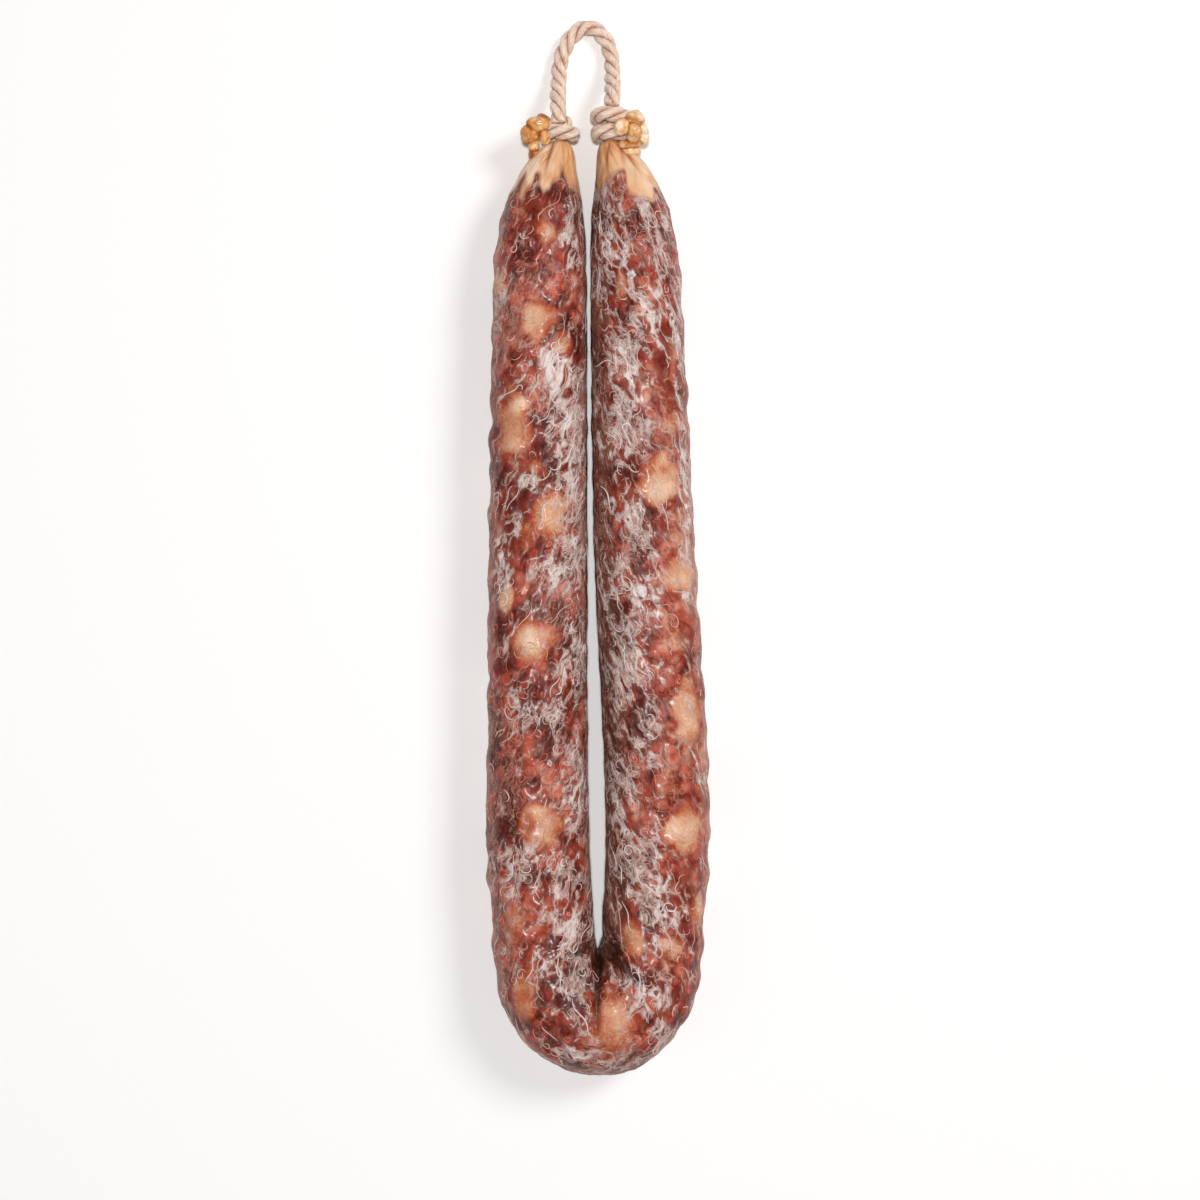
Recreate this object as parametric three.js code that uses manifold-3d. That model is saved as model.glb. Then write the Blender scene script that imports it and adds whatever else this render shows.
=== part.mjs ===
// A cured sausage bent into a horseshoe, lying on its back with its show side up.
// Its legs run along Y from a tight, creased bend to two necks. At each neck the casing is
// gathered, bound with twine and knotted, and a loop of the same twine joins the two necks.
// Millimetres. X runs across the legs, Y from the bend to the loop, Z up from the table.
// The origin is the middle of the underside, measured without the loop.

import * as THREE from "three";
import { mergeVertices } from "three/addons/utils/BufferGeometryUtils.js";
import Module from "manifold-3d";

const wasm = await Module();
wasm.setup();

// The meat
const restDepth = 0.7; // how deep the underside has settled flat
const bodyRoundness = 0.985; // height of a section, as a share of its width

// The bend, worked out round a pivot in the slot between the legs
const pivot = { x: 0.2, y: -95.6 };
const bendReachSide = 29.2; // pivot to the outer side, beside it
const bendReachFoot = 38.7; // pivot to the foot of the bend
const slotHalf = 1.2; // pivot to the inner side, beside it
const slotFoot = 4; // pivot to the inner side, below it
const bendHeight = 14.6; // half of the bend's thickness, measured upwards

// The necks
const neckHeight = 11.8; // of the gathered casing over the table
const taperLength = 38;
const taperPower = 0.5; // under 1 makes the shoulder blunt
const pleatCount = 7;
const pleatLength = 22;
const pleatDepth = 0.1; // share of the local radius

// The twine
const gap = 0.3; // kept between neighbouring pieces
const loopRadius = 2.1;
const wrapTwineRadius = 2.2;
const pinchRadius = 1.1; // the gathered casing inside a wrap
const wrapRadius = pinchRadius + gap + wrapTwineRadius;
const wrapPitch = 2 * wrapTwineRadius + 0.5;
const wrapY = 127.2; // the wrap nearest the meat

// A leg: its side, its stations from the bend to the shoulder and the wraps on its neck.
// A station is the middle and the half width of the leg at a distance along Y.
const legs = {
  left: {
    side: -1,
    neckX: -10.4,
    wraps: 1,
    stations: [
      { y: pivot.y, x: -15, half: 14 },
      { y: -73, x: -16.3, half: 14.3 },
      { y: -40, x: -16.5, half: 13.9 },
      { y: 0, x: -16.4, half: 13.7 },
      { y: 38, x: -16.2, half: 13.5 },
      { y: 71, x: -16, half: 13.2 },
      { y: 94, x: -15.7, half: 12.8 },
      { y: 105, x: -15, half: 12.8 },
      { y: 116, x: -13.6, half: 12.4 },
    ],
  },
  right: {
    side: 1,
    neckX: 3.8,
    wraps: 2,
    stations: [
      { y: pivot.y, x: 15.4, half: 14 },
      { y: -73, x: 16.8, half: 14.4 },
      { y: -40, x: 16, half: 14.4 },
      { y: 0, x: 13.7, half: 14.1 },
      { y: 38, x: 12.2, half: 13.6 },
      { y: 71, x: 11.2, half: 12.9 },
      { y: 94, x: 10.3, half: 12.3 },
      { y: 105, x: 9.3, half: 12.3 },
      { y: 116, x: 7.6, half: 12 },
    ],
  },
};

// Lumps of back fat under the skin of the show side: middle, reach across, reach along
const nodules = [
  [-15.8, 74.5, 4, 5],
  [-22.6, 46, 4.5, 8],
  [-12, 20, 4.6, 5.4],
  [-17.3, -13, 6, 6.2],
  [-15.1, -64, 6, 6],
  [-20, -111, 4.2, 8],
  [17, 30, 5, 6.5],
  [21.6, 4, 5.2, 5.6],
  [25.2, -33, 4, 8],
  [23.6, -64, 4.4, 5.6],
  [10, -95.6, 3.6, 4.6],
  [4.2, -117, 6, 8.6],
];
const noduleRise = 0.8;

// Creases in the show side, each deepest at its first end: its ends, depth and half width
const creases = [
  { from: [0.4, -99.6], to: [-0.3, -125], most: 2.3, half: 1.4 },
  { from: [2.6, -99], to: [15, -109.5], most: 2.4, half: 1.5 },
  { from: [-2.2, -97.6], to: [-14.5, -104], most: 1.4, half: 1.4 },
  { from: [3.2, -98.2], to: [7.4, -99.6], most: 2.8, half: 2 },
  { from: [-12.6, 125], to: [-15, 113], most: 1.6, half: 0.9 },
  { from: [7, 123], to: [7.4, 113], most: 1.1, half: 0.9 },
  { from: [8.5, 122], to: [14.4, 111.4], most: 1.3, half: 0.9 },
];
const creaseFading = 0.7;

// Rolls of folded casing beside the inner end of the bend: ends, height and half width
const rolls = [
  { from: [3.6, -102], to: [13, -106.4], most: 1.1, half: 1.5 },
  { from: [-2.6, -92], to: [-0.8, -100.5], most: 1, half: 1.4 },
  { from: [-3.4, -101], to: [-4.6, -108], most: 0.6, half: 1.6 },
  { from: [2.2, -105], to: [4.4, -113], most: 0.5, half: 1.6 },
];
const rollFading = 0.25;

// Knots of gathered casing: lobes as middle, half sizes and turn about Z.
// The last lobe of each joins it to the neck.
const knotLobes = {
  left: [
    [-18.8, 127.1, 13.9, 2.8, 2.7, 2.7, 0],
    [-16.3, 129.3, 14.8, 3.8, 2.35, 2.4, -0.22],
    [-15.2, 131.1, 12, 1.9, 1.6, 2, 0],
    [-14.5, 126.2, 15.2, 1.5, 2.5, 1.3, 0.1],
    [-17.5, 123.8, 13.1, 1.5, 2.6, 1.4, -0.1],
    [-17.4, 121.3, 12.8, 1.9, 1.6, 1.5, 0],
  ],
  right: [
    [10.3, 130.9, 14.8, 2.7, 2.8, 2.6, 0],
    [6.8, 128.1, 17.2, 2.5, 2.8, 2.3, 0.25],
    [10, 126.7, 17, 2.1, 2.8, 2.2, 0.1],
    [12.6, 126.9, 14.6, 1.7, 3.2, 2.3, 0.1],
    [9.4, 128.9, 15.4, 2.9, 2.4, 2.3, 0],
    [8.9, 123.9, 15.2, 3.4, 1.5, 1.9, 0.12],
    [9, 122.3, 14, 3.1, 1.6, 1.9, 0.1],
  ],
};

// Bumps where the twine tucks behind itself at a wrap: middle and half sizes
const tucks = {
  left: [-8.9, 130.8, 7.6, 1.8, 2, 1.8],
  right: [6, 133.2, 7.6, 1.9, 1.9, 1.9],
};

// The loop's middle line, from the left neck down to the table, round and up to the right neck
const loopRoute = [
  [-10.6, 130.2, 11.9],
  [-10.8, 132.6, 11.4],
  [-10.9, 135.3, 10.1],
  [-11, 138, 8.1],
  [-10.9, 140.8, 5.7],
  [-10.8, 143.8, 3.7],
  [-10.6, 147.2, 2.4],
  [-9.7, 151.4, 2.1],
  [-7.8, 155.2, 2.1],
  [-5.4, 157.7, 2.1],
  [-2.7, 158.7, 2.1],
  [0, 157.8, 2.1],
  [2.3, 155.3, 2.1],
  [3.7, 151.9, 2.2],
  [4.2, 148.6, 2.8],
  [4.3, 145.5, 4.4],
  [4.3, 142.6, 6.7],
  [4.3, 139.9, 9.1],
  [4.2, 137.4, 10.9],
  [4, 135.2, 11.8],
];

const around = 24;
const pinchRows = 3;
const neckRows = 14;
const legRows = 47;
const bendRows = 36;

const skinColour = 0x9e5a4b;
const twineColour = 0xdebeac;

const smooth = (t) => {
  const c = THREE.MathUtils.clamp(t, 0, 1);
  return c * c * (3 - 2 * c);
};
const bell = (t) => Math.exp(-t * t);

const wrapPlaces = ({ wraps }) => Array.from({ length: wraps }, (_, k) => wrapY + k * wrapPitch);
const pinchEnd = (leg) => wrapPlaces(leg).at(-1) + wrapTwineRadius + 0.4;
const pinchStart = wrapY - wrapTwineRadius + 0.2;
const shoulder = wrapY - taperLength;

// The middle and half width of a leg at y, on a smooth curve through its stations
function legLine(leg, y) {
  const { stations } = leg;
  const ends = [...stations, { y: pinchStart, x: leg.neckX, half: stations.at(-1).half }];
  const last = ends.length - 1;
  if (y >= pinchStart) return { x: leg.neckX, half: ends[last].half };
  const next = Math.max(1, ends.findIndex((s) => s.y > y));
  const at = (k) => ends[THREE.MathUtils.clamp(k, 0, last)];
  const [a, b, c, d] = [at(next - 2), at(next - 1), at(next), at(next + 1)];
  const span = c.y - b.y;
  const t = (y - b.y) / span;
  const curve = (key) => {
    const into = a === b ? 0 : ((c[key] - a[key]) / (c.y - a.y)) * span;
    const out = d === c ? c[key] - b[key] : ((d[key] - b[key]) / (d.y - b.y)) * span;
    const rise = c[key] - b[key];
    return b[key] + t * (into + t * (3 * rise - 2 * into - out + t * (into + out - 2 * rise)));
  };
  return { x: curve("x"), half: curve("half") };
}

// Half width at y: full along the leg, then a taper to the pinch under the twine
function neckedHalf(y, half) {
  const below = THREE.MathUtils.clamp((pinchStart - y) / taperLength, 0, 1);
  return pinchRadius + (half - pinchRadius) * Math.sin((Math.PI / 2) * below) ** taperPower;
}

// A section across a leg: its middle, its outward direction and its half sizes.
// Row 0 closes the pinched end, the others run from there to the bend.
function legSection(leg, row) {
  const y = rowPlace(leg, row);
  const line = legLine(leg, y);
  const half = row > 0 ? neckedHalf(y, line.half) : 0;
  const toNeck = smooth((y - shoulder) / (taperLength - 6));
  const height = bodyRoundness * half;
  const middle = THREE.MathUtils.lerp(bodyRoundness * line.half - restDepth, neckHeight, toNeck);
  return {
    middle: new THREE.Vector3(line.x, y, middle),
    out: new THREE.Vector3(leg.side, 0, 0),
    half,
    height,
    pleats: pleatDepth * smooth(1 - (pinchStart - y) / pleatLength),
  };
}

// A section across the bend, at an angle from the left leg to the right one. The slot ends in
// a point: its two sides run straight from beside the pivot to its foot.
function bendSection(angle) {
  const foot = Math.sin(angle) ** 2;
  const across = smooth(angle / Math.PI);
  const ends = [legs.left, legs.right].map((leg) => legLine(leg, pivot.y));
  const side = THREE.MathUtils.lerp(ends[0].half, ends[1].half, across);
  const inner = 1 / (Math.abs(Math.cos(angle)) / slotHalf + Math.sin(angle) / slotFoot);
  const outer = THREE.MathUtils.lerp(bendReachSide, bendReachFoot, foot);
  const half = (outer - inner) / 2;
  const height = THREE.MathUtils.lerp(bodyRoundness * side, bendHeight, foot);
  const out = new THREE.Vector3(-Math.cos(angle), -Math.sin(angle), 0);
  const middle = new THREE.Vector3(pivot.x, pivot.y, height - restDepth);
  middle.addScaledVector(out, (outer + inner) / 2);
  return { middle, out, half, height, pleats: 0 };
}

// How far along Y a leg's row lies: pinched casing first, then the neck, then the leg
function rowPlace(leg, row) {
  const fromNeck = row - pinchRows;
  const fromLeg = fromNeck - neckRows;
  const fromEnd = Math.max(0, row - 1) / (pinchRows - 1);
  if (fromNeck <= 0) return THREE.MathUtils.lerp(pinchEnd(leg), pinchStart, fromEnd);
  if (fromLeg > 0) return THREE.MathUtils.lerp(shoulder, pivot.y, fromLeg / legRows);
  return THREE.MathUtils.lerp(pinchStart, shoulder, (fromNeck / neckRows) ** 1.5);
}

// Row 0 is the left neck's tip, the last row the right one's
const sideRows = pinchRows + neckRows + legRows;
function sectionOf(row) {
  const fromRight = 2 * sideRows + bendRows - row;
  if (row <= sideRows) return legSection(legs.left, row);
  if (fromRight <= sideRows) return legSection(legs.right, fromRight);
  return bendSection((Math.PI * (row - sideRows)) / bendRows);
}

// The deepest crease or the highest roll at a place: bells across lines that fade to their end
function alongLines(places, fading, { x, y }) {
  return places.reduce((greatest, { from, to, most, half }) => {
    const along = new THREE.Vector2(to[0] - from[0], to[1] - from[1]);
    const away = new THREE.Vector2(x - from[0], y - from[1]);
    const t = THREE.MathUtils.clamp(away.dot(along) / along.lengthSq(), 0, 1);
    const distance = away.addScaledVector(along, -t).length();
    return Math.max(greatest, most * (1 - t) ** fading * bell(distance / half));
  }, 0);
}

// Height of the skin over the plain section: soft waves, calmer underneath and towards the slot
// so that the legs stay apart, fat lumps, rolls and creases
function relief(half, point, turn) {
  const apart = 0.25 + 0.75 * smooth(0.9 + Math.cos(turn));
  const settled = 1 - 0.8 * smooth((-Math.sin(turn) - 0.7) / 0.3);
  const body = smooth((half - 5) / 7) * apart * settled;
  const waves =
    0.17 * Math.sin(0.62 * point.y + 1.7 * Math.sin(turn) + 0.2 * point.x) +
    0.16 * Math.sin(0.37 * point.y - 3 * turn) +
    0.1 * Math.sin(0.9 * point.x + 0.5 * point.y + 2 * turn);
  const upper = smooth(0.5 + Math.sin(turn));
  const lump = nodules.reduce((most, [x, y, across, along]) => {
    const away = Math.hypot((point.x - x) / across, (point.y - y) / along);
    return Math.max(most, bell(away ** 1.5));
  }, 0);
  const folded = alongLines(rolls, rollFading, point) - alongLines(creases, creaseFading, point);
  const showing = smooth(1.6 * Math.sin(turn) - 0.2);
  return body * (waves + noduleRise * upper * lump) + showing * folded;
}

// The skin at a row and at a turn round it: 0 points away from the slot, a quarter turn up
function skinPoint(row, turn, target) {
  const { middle, out, half, height, pleats } = sectionOf(row);
  const up = new THREE.Vector3(0, 0, 1);
  const place = (grow) => {
    const share = 1 + pleats * Math.cos(pleatCount * turn);
    target.copy(middle);
    target.addScaledVector(out, (half + grow) * share * Math.cos(turn));
    return target.addScaledVector(up, (height + grow) * share * Math.sin(turn));
  };
  place(0);
  if (half > 2 * pinchRadius) place(relief(half, target.clone(), turn));
  target.z = Math.max(0, target.z);
  return target;
}

// A closed grid: a sphere's vertices, moved onto the skin
function skinGeometry() {
  const rows = 2 * sideRows + bendRows;
  const geometry = new THREE.SphereGeometry(1, around, rows);
  const { position, uv } = geometry.attributes;
  const point = new THREE.Vector3();
  for (let i = 0; i < position.count; i += 1) {
    const row = Math.round((1 - uv.getY(i)) * rows);
    skinPoint(row, 2 * Math.PI * uv.getX(i), point);
    position.setXYZ(i, point.x, point.y, point.z);
  }
  return geometry;
}

function solidFrom(geometry) {
  const bare = geometry.clone();
  bare.deleteAttribute("normal");
  bare.deleteAttribute("uv");
  const merged = mergeVertices(bare, 1e-4);
  return new wasm.Manifold(
    new wasm.Mesh({
      numProp: 3,
      vertProperties: merged.attributes.position.array,
      triVerts: new Uint32Array(merged.index.array),
    }),
  );
}

function geometryFrom(solid) {
  const { vertProperties, triVerts } = solid.getMesh();
  const geometry = new THREE.BufferGeometry();
  geometry.setAttribute("position", new THREE.BufferAttribute(vertProperties, 3));
  geometry.setIndex(new THREE.BufferAttribute(triVerts, 1));
  geometry.computeVertexNormals();
  return geometry;
}

function lobe([x, y, z, across, along, thick, turn = 0], grow = 0) {
  const geometry = new THREE.SphereGeometry(1, 14, 10);
  geometry.scale(across + grow, along + grow, thick + grow);
  geometry.rotateZ(turn);
  geometry.translate(x, y, z);
  return solidFrom(geometry);
}

// One turn of twine round a neck; the outermost one holds the tuck
function wrapSolid(name, k, grow = 0) {
  const leg = legs[name];
  const places = wrapPlaces(leg);
  const geometry = new THREE.TorusGeometry(wrapRadius, wrapTwineRadius + grow, 8, 20);
  geometry.rotateX(Math.PI / 2);
  geometry.translate(leg.neckX, places[k], neckHeight);
  const ring = solidFrom(geometry);
  return k < places.length - 1 ? ring : ring.add(lobe(tucks[name], grow));
}

// The casing: the skin and both knots as one solid, clear of the twine
function casingGeometry() {
  let solid = solidFrom(skinGeometry());
  for (const [name, leg] of Object.entries(legs)) {
    let knot = lobe(knotLobes[name][0]);
    for (const one of knotLobes[name].slice(1)) knot = knot.add(lobe(one));
    for (let k = 0; k < leg.wraps; k += 1) knot = knot.subtract(wrapSolid(name, k, gap));
    solid = solid.add(knot);
  }
  return geometryFrom(solid);
}

function loopGeometry() {
  const route = new THREE.CatmullRomCurve3(loopRoute.map((p) => new THREE.Vector3(...p)));
  const section = new THREE.Shape().absarc(0, 0, loopRadius, 0, 2 * Math.PI);
  return new THREE.ExtrudeGeometry(section, { extrudePath: route, steps: 32, curveSegments: 5 });
}

const skin = new THREE.MeshStandardMaterial({ color: skinColour, roughness: 0.55, metalness: 0 });
const twine = new THREE.MeshStandardMaterial({ color: twineColour, roughness: 0.9, metalness: 0 });

const sausage = new THREE.Group();

function addPiece(name, geometry, material) {
  const mesh = new THREE.Mesh(geometry, material);
  mesh.name = name;
  sausage.add(mesh);
}

addPiece("sausage", casingGeometry(), skin);
addPiece("twine_wrap_left", geometryFrom(wrapSolid("left", 0)), twine);
addPiece("twine_wrap_right_lower", geometryFrom(wrapSolid("right", 0)), twine);
addPiece("twine_wrap_right_upper", geometryFrom(wrapSolid("right", 1)), twine);
addPiece("twine_loop", loopGeometry(), twine);

export default sausage;
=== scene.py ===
import bpy
import numpy as np
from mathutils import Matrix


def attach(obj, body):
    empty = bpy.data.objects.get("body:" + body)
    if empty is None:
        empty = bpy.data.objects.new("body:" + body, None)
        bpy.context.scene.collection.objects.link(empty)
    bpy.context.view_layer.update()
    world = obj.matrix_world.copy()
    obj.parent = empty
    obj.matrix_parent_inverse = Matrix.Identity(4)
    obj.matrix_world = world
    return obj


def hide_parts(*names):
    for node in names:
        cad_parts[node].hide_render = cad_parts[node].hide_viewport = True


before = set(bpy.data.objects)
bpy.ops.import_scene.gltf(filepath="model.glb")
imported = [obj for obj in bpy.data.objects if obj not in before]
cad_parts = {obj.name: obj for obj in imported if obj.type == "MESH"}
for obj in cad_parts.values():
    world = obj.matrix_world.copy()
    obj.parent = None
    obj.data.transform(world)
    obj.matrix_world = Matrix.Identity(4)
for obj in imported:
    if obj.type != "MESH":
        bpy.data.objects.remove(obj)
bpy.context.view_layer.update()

# A cured sausage bent into a horseshoe, lying with its show side up. Shapes are worked out in
# millimetres and become metres where a mesh is made. +Y runs from the bend to the twine loop.
metres = 0.001
tau = 2 * np.pi


# camera: straight down on the show side

cameraValues = {
    "lookAt": (0.83, -2.5, 13.0),
    "frameWidth": 333.3,  # mm across, at the height of lookAt
    "lens": 85.0,
    "sensor": 36.0,
}


def placeCamera(values):
    # the height over lookAt is the width times the lens over the sensor
    camera = bpy.data.objects.new("camera", bpy.data.cameras.new("camera"))
    x, y, z = values["lookAt"]
    away = values["frameWidth"] * values["lens"] / values["sensor"]
    camera.location = (x * metres, y * metres, (z + away) * metres)
    camera.data.lens = values["lens"]
    camera.data.sensor_width = values["sensor"]
    camera.data.clip_end = 20
    bpy.context.scene.collection.objects.link(camera)
    bpy.context.scene.camera = camera


placeCamera(cameraValues)
print("camera placed")


# small helpers for shapes

def smooth(t):
    # 0 below 0, 1 above 1, and an S between them: t squared times (3 - 2 t)
    t = np.clip(t, 0, 1)
    return t * t * (3 - 2 * t)


def bell(t):
    # e to the power of minus t squared
    return np.exp(-t * t)


def through(knots, values, at, level=False):
    # cubic pieces through the values; the slope at a knot is that between its two neighbours,
    # at the ends that of the last piece, or 0 at the first knot where level is set
    knots = np.asarray(knots, float)
    values = np.asarray(values, float).reshape(len(knots), -1)
    step = np.diff(knots)[:, None]
    rise = np.diff(values, axis=0)
    slope = np.vstack([rise[:1] / step[:1], (rise[1:] + rise[:-1]) / (step[1:] + step[:-1]),
                       rise[-1:] / step[-1:]])
    if level:
        slope[0] = 0
    at = np.asarray(at, float)
    flat = np.clip(at.ravel(), knots[0], knots[-1])
    k = np.clip(np.searchsorted(knots, flat, side="right") - 1, 0, len(knots) - 2)
    t = ((flat - knots[k]) / step[k, 0])[:, None]
    into, out = slope[k] * step[k], slope[k + 1] * step[k]
    result = values[k] + t * (into + t * (3 * rise[k] - 2 * into - out
                                          + t * (into + out - 2 * rise[k])))
    return result.reshape(at.shape + (values.shape[1],))


def unit(v):
    # each vector over its own length
    return v / np.maximum(np.linalg.norm(v, axis=-1, keepdims=True), 1e-12)


def lattice(i, j, k, seed):
    # a number from 0 to 1 for each whole-numbered place, by mixing the bits of i, j and k
    n = (i * 374761393 + j * 668265263 + k * 1440662683 + seed * 974634777) & 0xFFFFFFFF
    n = ((n ^ (n >> 13)) * 1274126177) & 0xFFFFFFFF
    n = ((n ^ (n >> 16)) * 668265263) & 0xFFFFFFFF
    return ((n >> 8) & 0xFFFF) / 65535.0


def softNoise(p, size, seed):
    # from -1 to 1: the lattice numbers round each point, blended by smooth shares of the distance
    q = p / np.asarray(size, float)
    base = np.floor(q).astype(np.int64)
    part = q - base
    share = part * part * (3 - 2 * part)
    total = 0
    for dx, dy, dz in np.ndindex(2, 2, 2):
        weight = (np.abs(1 - dx - share[..., 0]) * np.abs(1 - dy - share[..., 1])
                  * np.abs(1 - dz - share[..., 2]))
        total = total + weight * lattice(base[..., 0] + dx, base[..., 1] + dy,
                                         base[..., 2] + dz, seed)
    return 2 * total - 1


def lumps(p, size, seed):
    # one point jittered in each cube of the given size: the distances to the nearest and the
    # second nearest as shares of the size, and a number from 0 to 1 for the nearest
    q = p / np.asarray(size, float)
    base = np.floor(q).astype(np.int64)
    first = np.full(q.shape[:-1], 9.0)
    second = first.copy()
    name = np.zeros(q.shape[:-1])
    for step in np.ndindex(3, 3, 3):
        cell = base + np.array(step) - 1
        i, j, k = cell[..., 0], cell[..., 1], cell[..., 2]
        spot = cell + np.stack([lattice(i, j, k, seed + n) for n in (1, 2, 3)], -1)
        away = np.linalg.norm(q - spot, axis=-1)
        nearer = away < first
        second = np.where(nearer, first, np.minimum(second, away))
        name = np.where(nearer, lattice(i, j, k, seed + 4), name)
        first = np.where(nearer, away, first)
    return first, second, name


def facesOut(verts, quads):
    # each face's normal dotted with its way from the middle comes to more than 0 in all
    a, b, c = (verts[quads[:, k]] for k in range(3))
    return np.einsum("ij,ij->", np.cross(b - a, c - a), a - verts.mean(0)) > 0


def setMarks(mesh, marks):
    # one number or one vector for each point, under each name
    for key, flat in marks.items():
        kind, field = ("FLOAT_VECTOR", "vector") if flat.shape[-1] == 3 else ("FLOAT", "value")
        mesh.attributes.new(key, kind, "POINT").data.foreach_set(field, flat.ravel())


def meshPiece(name, verts, faces, outwards, marks, corners=None):
    # a smooth object of points in mm; corners holds the texture place of each face's corners
    mesh = bpy.data.meshes.new(name)
    mesh.from_pydata((verts * metres).tolist(), [], faces)
    mesh.update()
    if corners is not None:
        mesh.uv_layers.new(name="along").data.foreach_set("uv", corners.ravel())
    setMarks(mesh, marks)
    if not outwards:
        mesh.flip_normals()
    mesh.polygons.foreach_set("use_smooth", np.ones(len(mesh.polygons), bool))
    piece = bpy.data.objects.new(name, mesh)
    bpy.context.scene.collection.objects.link(piece)
    return piece


def surfacePiece(name, points, along=None, values=None, closed=False, shift=0):
    # a grid of points, rows by columns, its columns closed on themselves. The rows are closed
    # too, or end in a fan round the middle of the end row. along holds the texture place of
    # every corner, one row and one column longer where the grid closes.
    rows, cols = points.shape[:2]
    index = np.arange(rows * cols).reshape(rows, cols)
    low = index if closed else index[:-1]
    high = np.vstack([index[1:], np.roll(index[:1], -shift, 1)]) if closed else index[1:]
    quads = np.stack([low, np.roll(low, -1, 1), np.roll(high, -1, 1), high], -1).reshape(-1, 4)
    verts = points.reshape(-1, 3)
    faces = quads.tolist()
    if not closed:
        tips = np.stack([points[0].mean(0), points[-1].mean(0)])
        verts = np.vstack([verts, tips])
        tip = rows * cols
        firstRow, lastRow = index[0], index[-1]
        fanLow = np.stack([np.roll(firstRow, -1), firstRow, np.full(cols, tip)], -1)
        fanHigh = np.stack([lastRow, np.roll(lastRow, -1), np.full(cols, tip + 1)], -1)
        faces += fanLow.tolist() + fanHigh.tolist()
    corners = None
    if along is not None:
        corners = np.stack([along[:-1, :-1], along[:-1, 1:], along[1:, 1:], along[1:, :-1]], 2)
        corners = corners.reshape(-1, 2)
        if not closed:
            ends = [along[0, 1:], along[0, :-1], along[0, 1:], along[-1, :-1], along[-1, 1:],
                    along[-1, 1:]]
            corners = np.vstack([corners, np.stack(ends[:3], 1).reshape(-1, 2),
                                 np.stack(ends[3:], 1).reshape(-1, 2)])
    marks = {}
    for key, grid in (values or {}).items():
        marks[key] = grid.reshape(rows * cols, -1)
        if not closed:
            poles = [grid[k].mean(0).reshape(1, -1) for k in (0, -1)]
            marks[key] = np.vstack([marks[key], *poles])
    return meshPiece(name, verts, faces, facesOut(verts, quads), marks, corners)


# small helpers for materials

class Wire:
    # a socket of a node tree that can stand in a sum, beside numbers and other wires
    def __init__(self, tree, socket=None):
        self.tree = tree
        self.socket = socket

    def node(self, kind, settings=None, inputs=None, output=0):
        # any node: its settings are set first, then its sockets get values or links
        made = self.tree.nodes.new("ShaderNode" + kind)
        for key, value in (settings or {}).items():
            if key == "stops":
                while len(made.color_ramp.elements) < len(value):
                    made.color_ramp.elements.new(1)
                for stop, (place, colour) in zip(made.color_ramp.elements, value):
                    stop.position = place
                    stop.color = rgba(*colour)
            else:
                setattr(made, key, value)
        for key, value in (inputs or {}).items():
            if isinstance(value, Wire):
                self.tree.links.new(value.socket, made.inputs[key])
            else:
                made.inputs[key].default_value = value
        return Wire(self.tree, made.outputs[output])

    def math(self, operation, *values):
        return self.node("Math", {"operation": operation}, dict(enumerate(values)))

    def __add__(self, other):
        return self.math("ADD", self, other)

    def __radd__(self, other):
        return self.math("ADD", other, self)

    def __sub__(self, other):
        return self.math("SUBTRACT", self, other)

    def __rsub__(self, other):
        return self.math("SUBTRACT", other, self)

    def __mul__(self, other):
        return self.math("MULTIPLY", self, other)

    def __rmul__(self, other):
        return self.math("MULTIPLY", other, self)

    def __abs__(self):
        return self.math("ABSOLUTE", self)

    def most(self, other):
        return self.math("MAXIMUM", self, other)

    def between(self, low, high):
        # 0 at low, 1 at high, with a soft start and end
        return self.node("MapRange", {"interpolation_type": "SMOOTHSTEP"},
                         {"Value": self, "From Min": low, "From Max": high})

    def ramp(self, *stops):
        # each stop is a place and a screen colour
        return self.node("ValToRGB", {"stops": stops}, {0: self})

    def over(self, colour, share):
        # this colour with another laid over it, a wire or a screen colour
        colour = colour if isinstance(colour, Wire) else rgba(*colour)
        return self.node("Mix", {"data_type": "RGBA"}, {0: share, 6: self, 7: colour}, 2)

    def scaled(self, *factors):
        return self.node("VectorMath", {"operation": "MULTIPLY"}, {0: self, 1: factors})

    def noise(self, scale, detail=2.0, rough=0.5, bend=0.0):
        return self.node("TexNoise", {}, {"Vector": self, "Scale": scale, "Detail": detail,
                                          "Roughness": rough, "Distortion": bend})

    def cells(self, scale, feature="F1"):
        # the distance to the nearest cell's middle, or to its edge
        return self.node("TexVoronoi", {"feature": feature}, {"Vector": self, "Scale": scale})

    def attribute(self, name, output="Fac"):
        return self.node("Attribute", {"attribute_name": name}, output=output)


def newMaterial(name):
    # an empty node tree, and a wire to build it with
    material = bpy.data.materials.new(name)
    material.use_nodes = True
    material.node_tree.nodes.clear()
    return material, Wire(material.node_tree)


def finishMaterial(wire, fixed, varying):
    # fixed values sit on the shader's own sockets; only colour, roughness, coat and normal vary
    shader = wire.node("BsdfPrincipled", {}, {**fixed, **varying})
    out = wire.tree.nodes.new("ShaderNodeOutputMaterial")
    wire.tree.links.new(shader.socket, out.inputs["Surface"])


def rgba(*screen):
    # screen colour, 0 to 255, to light: a 12.92th when dark, else the power 2.4 of
    # (c + 0.055) / 1.055
    c = np.array(screen) / 255.0
    light = np.where(c <= 0.04045, c / 12.92, ((c + 0.055) / 1.055) ** 2.4)
    return (*(float(v) for v in light), 1.0)


# the twine: three strands laid together

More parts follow.
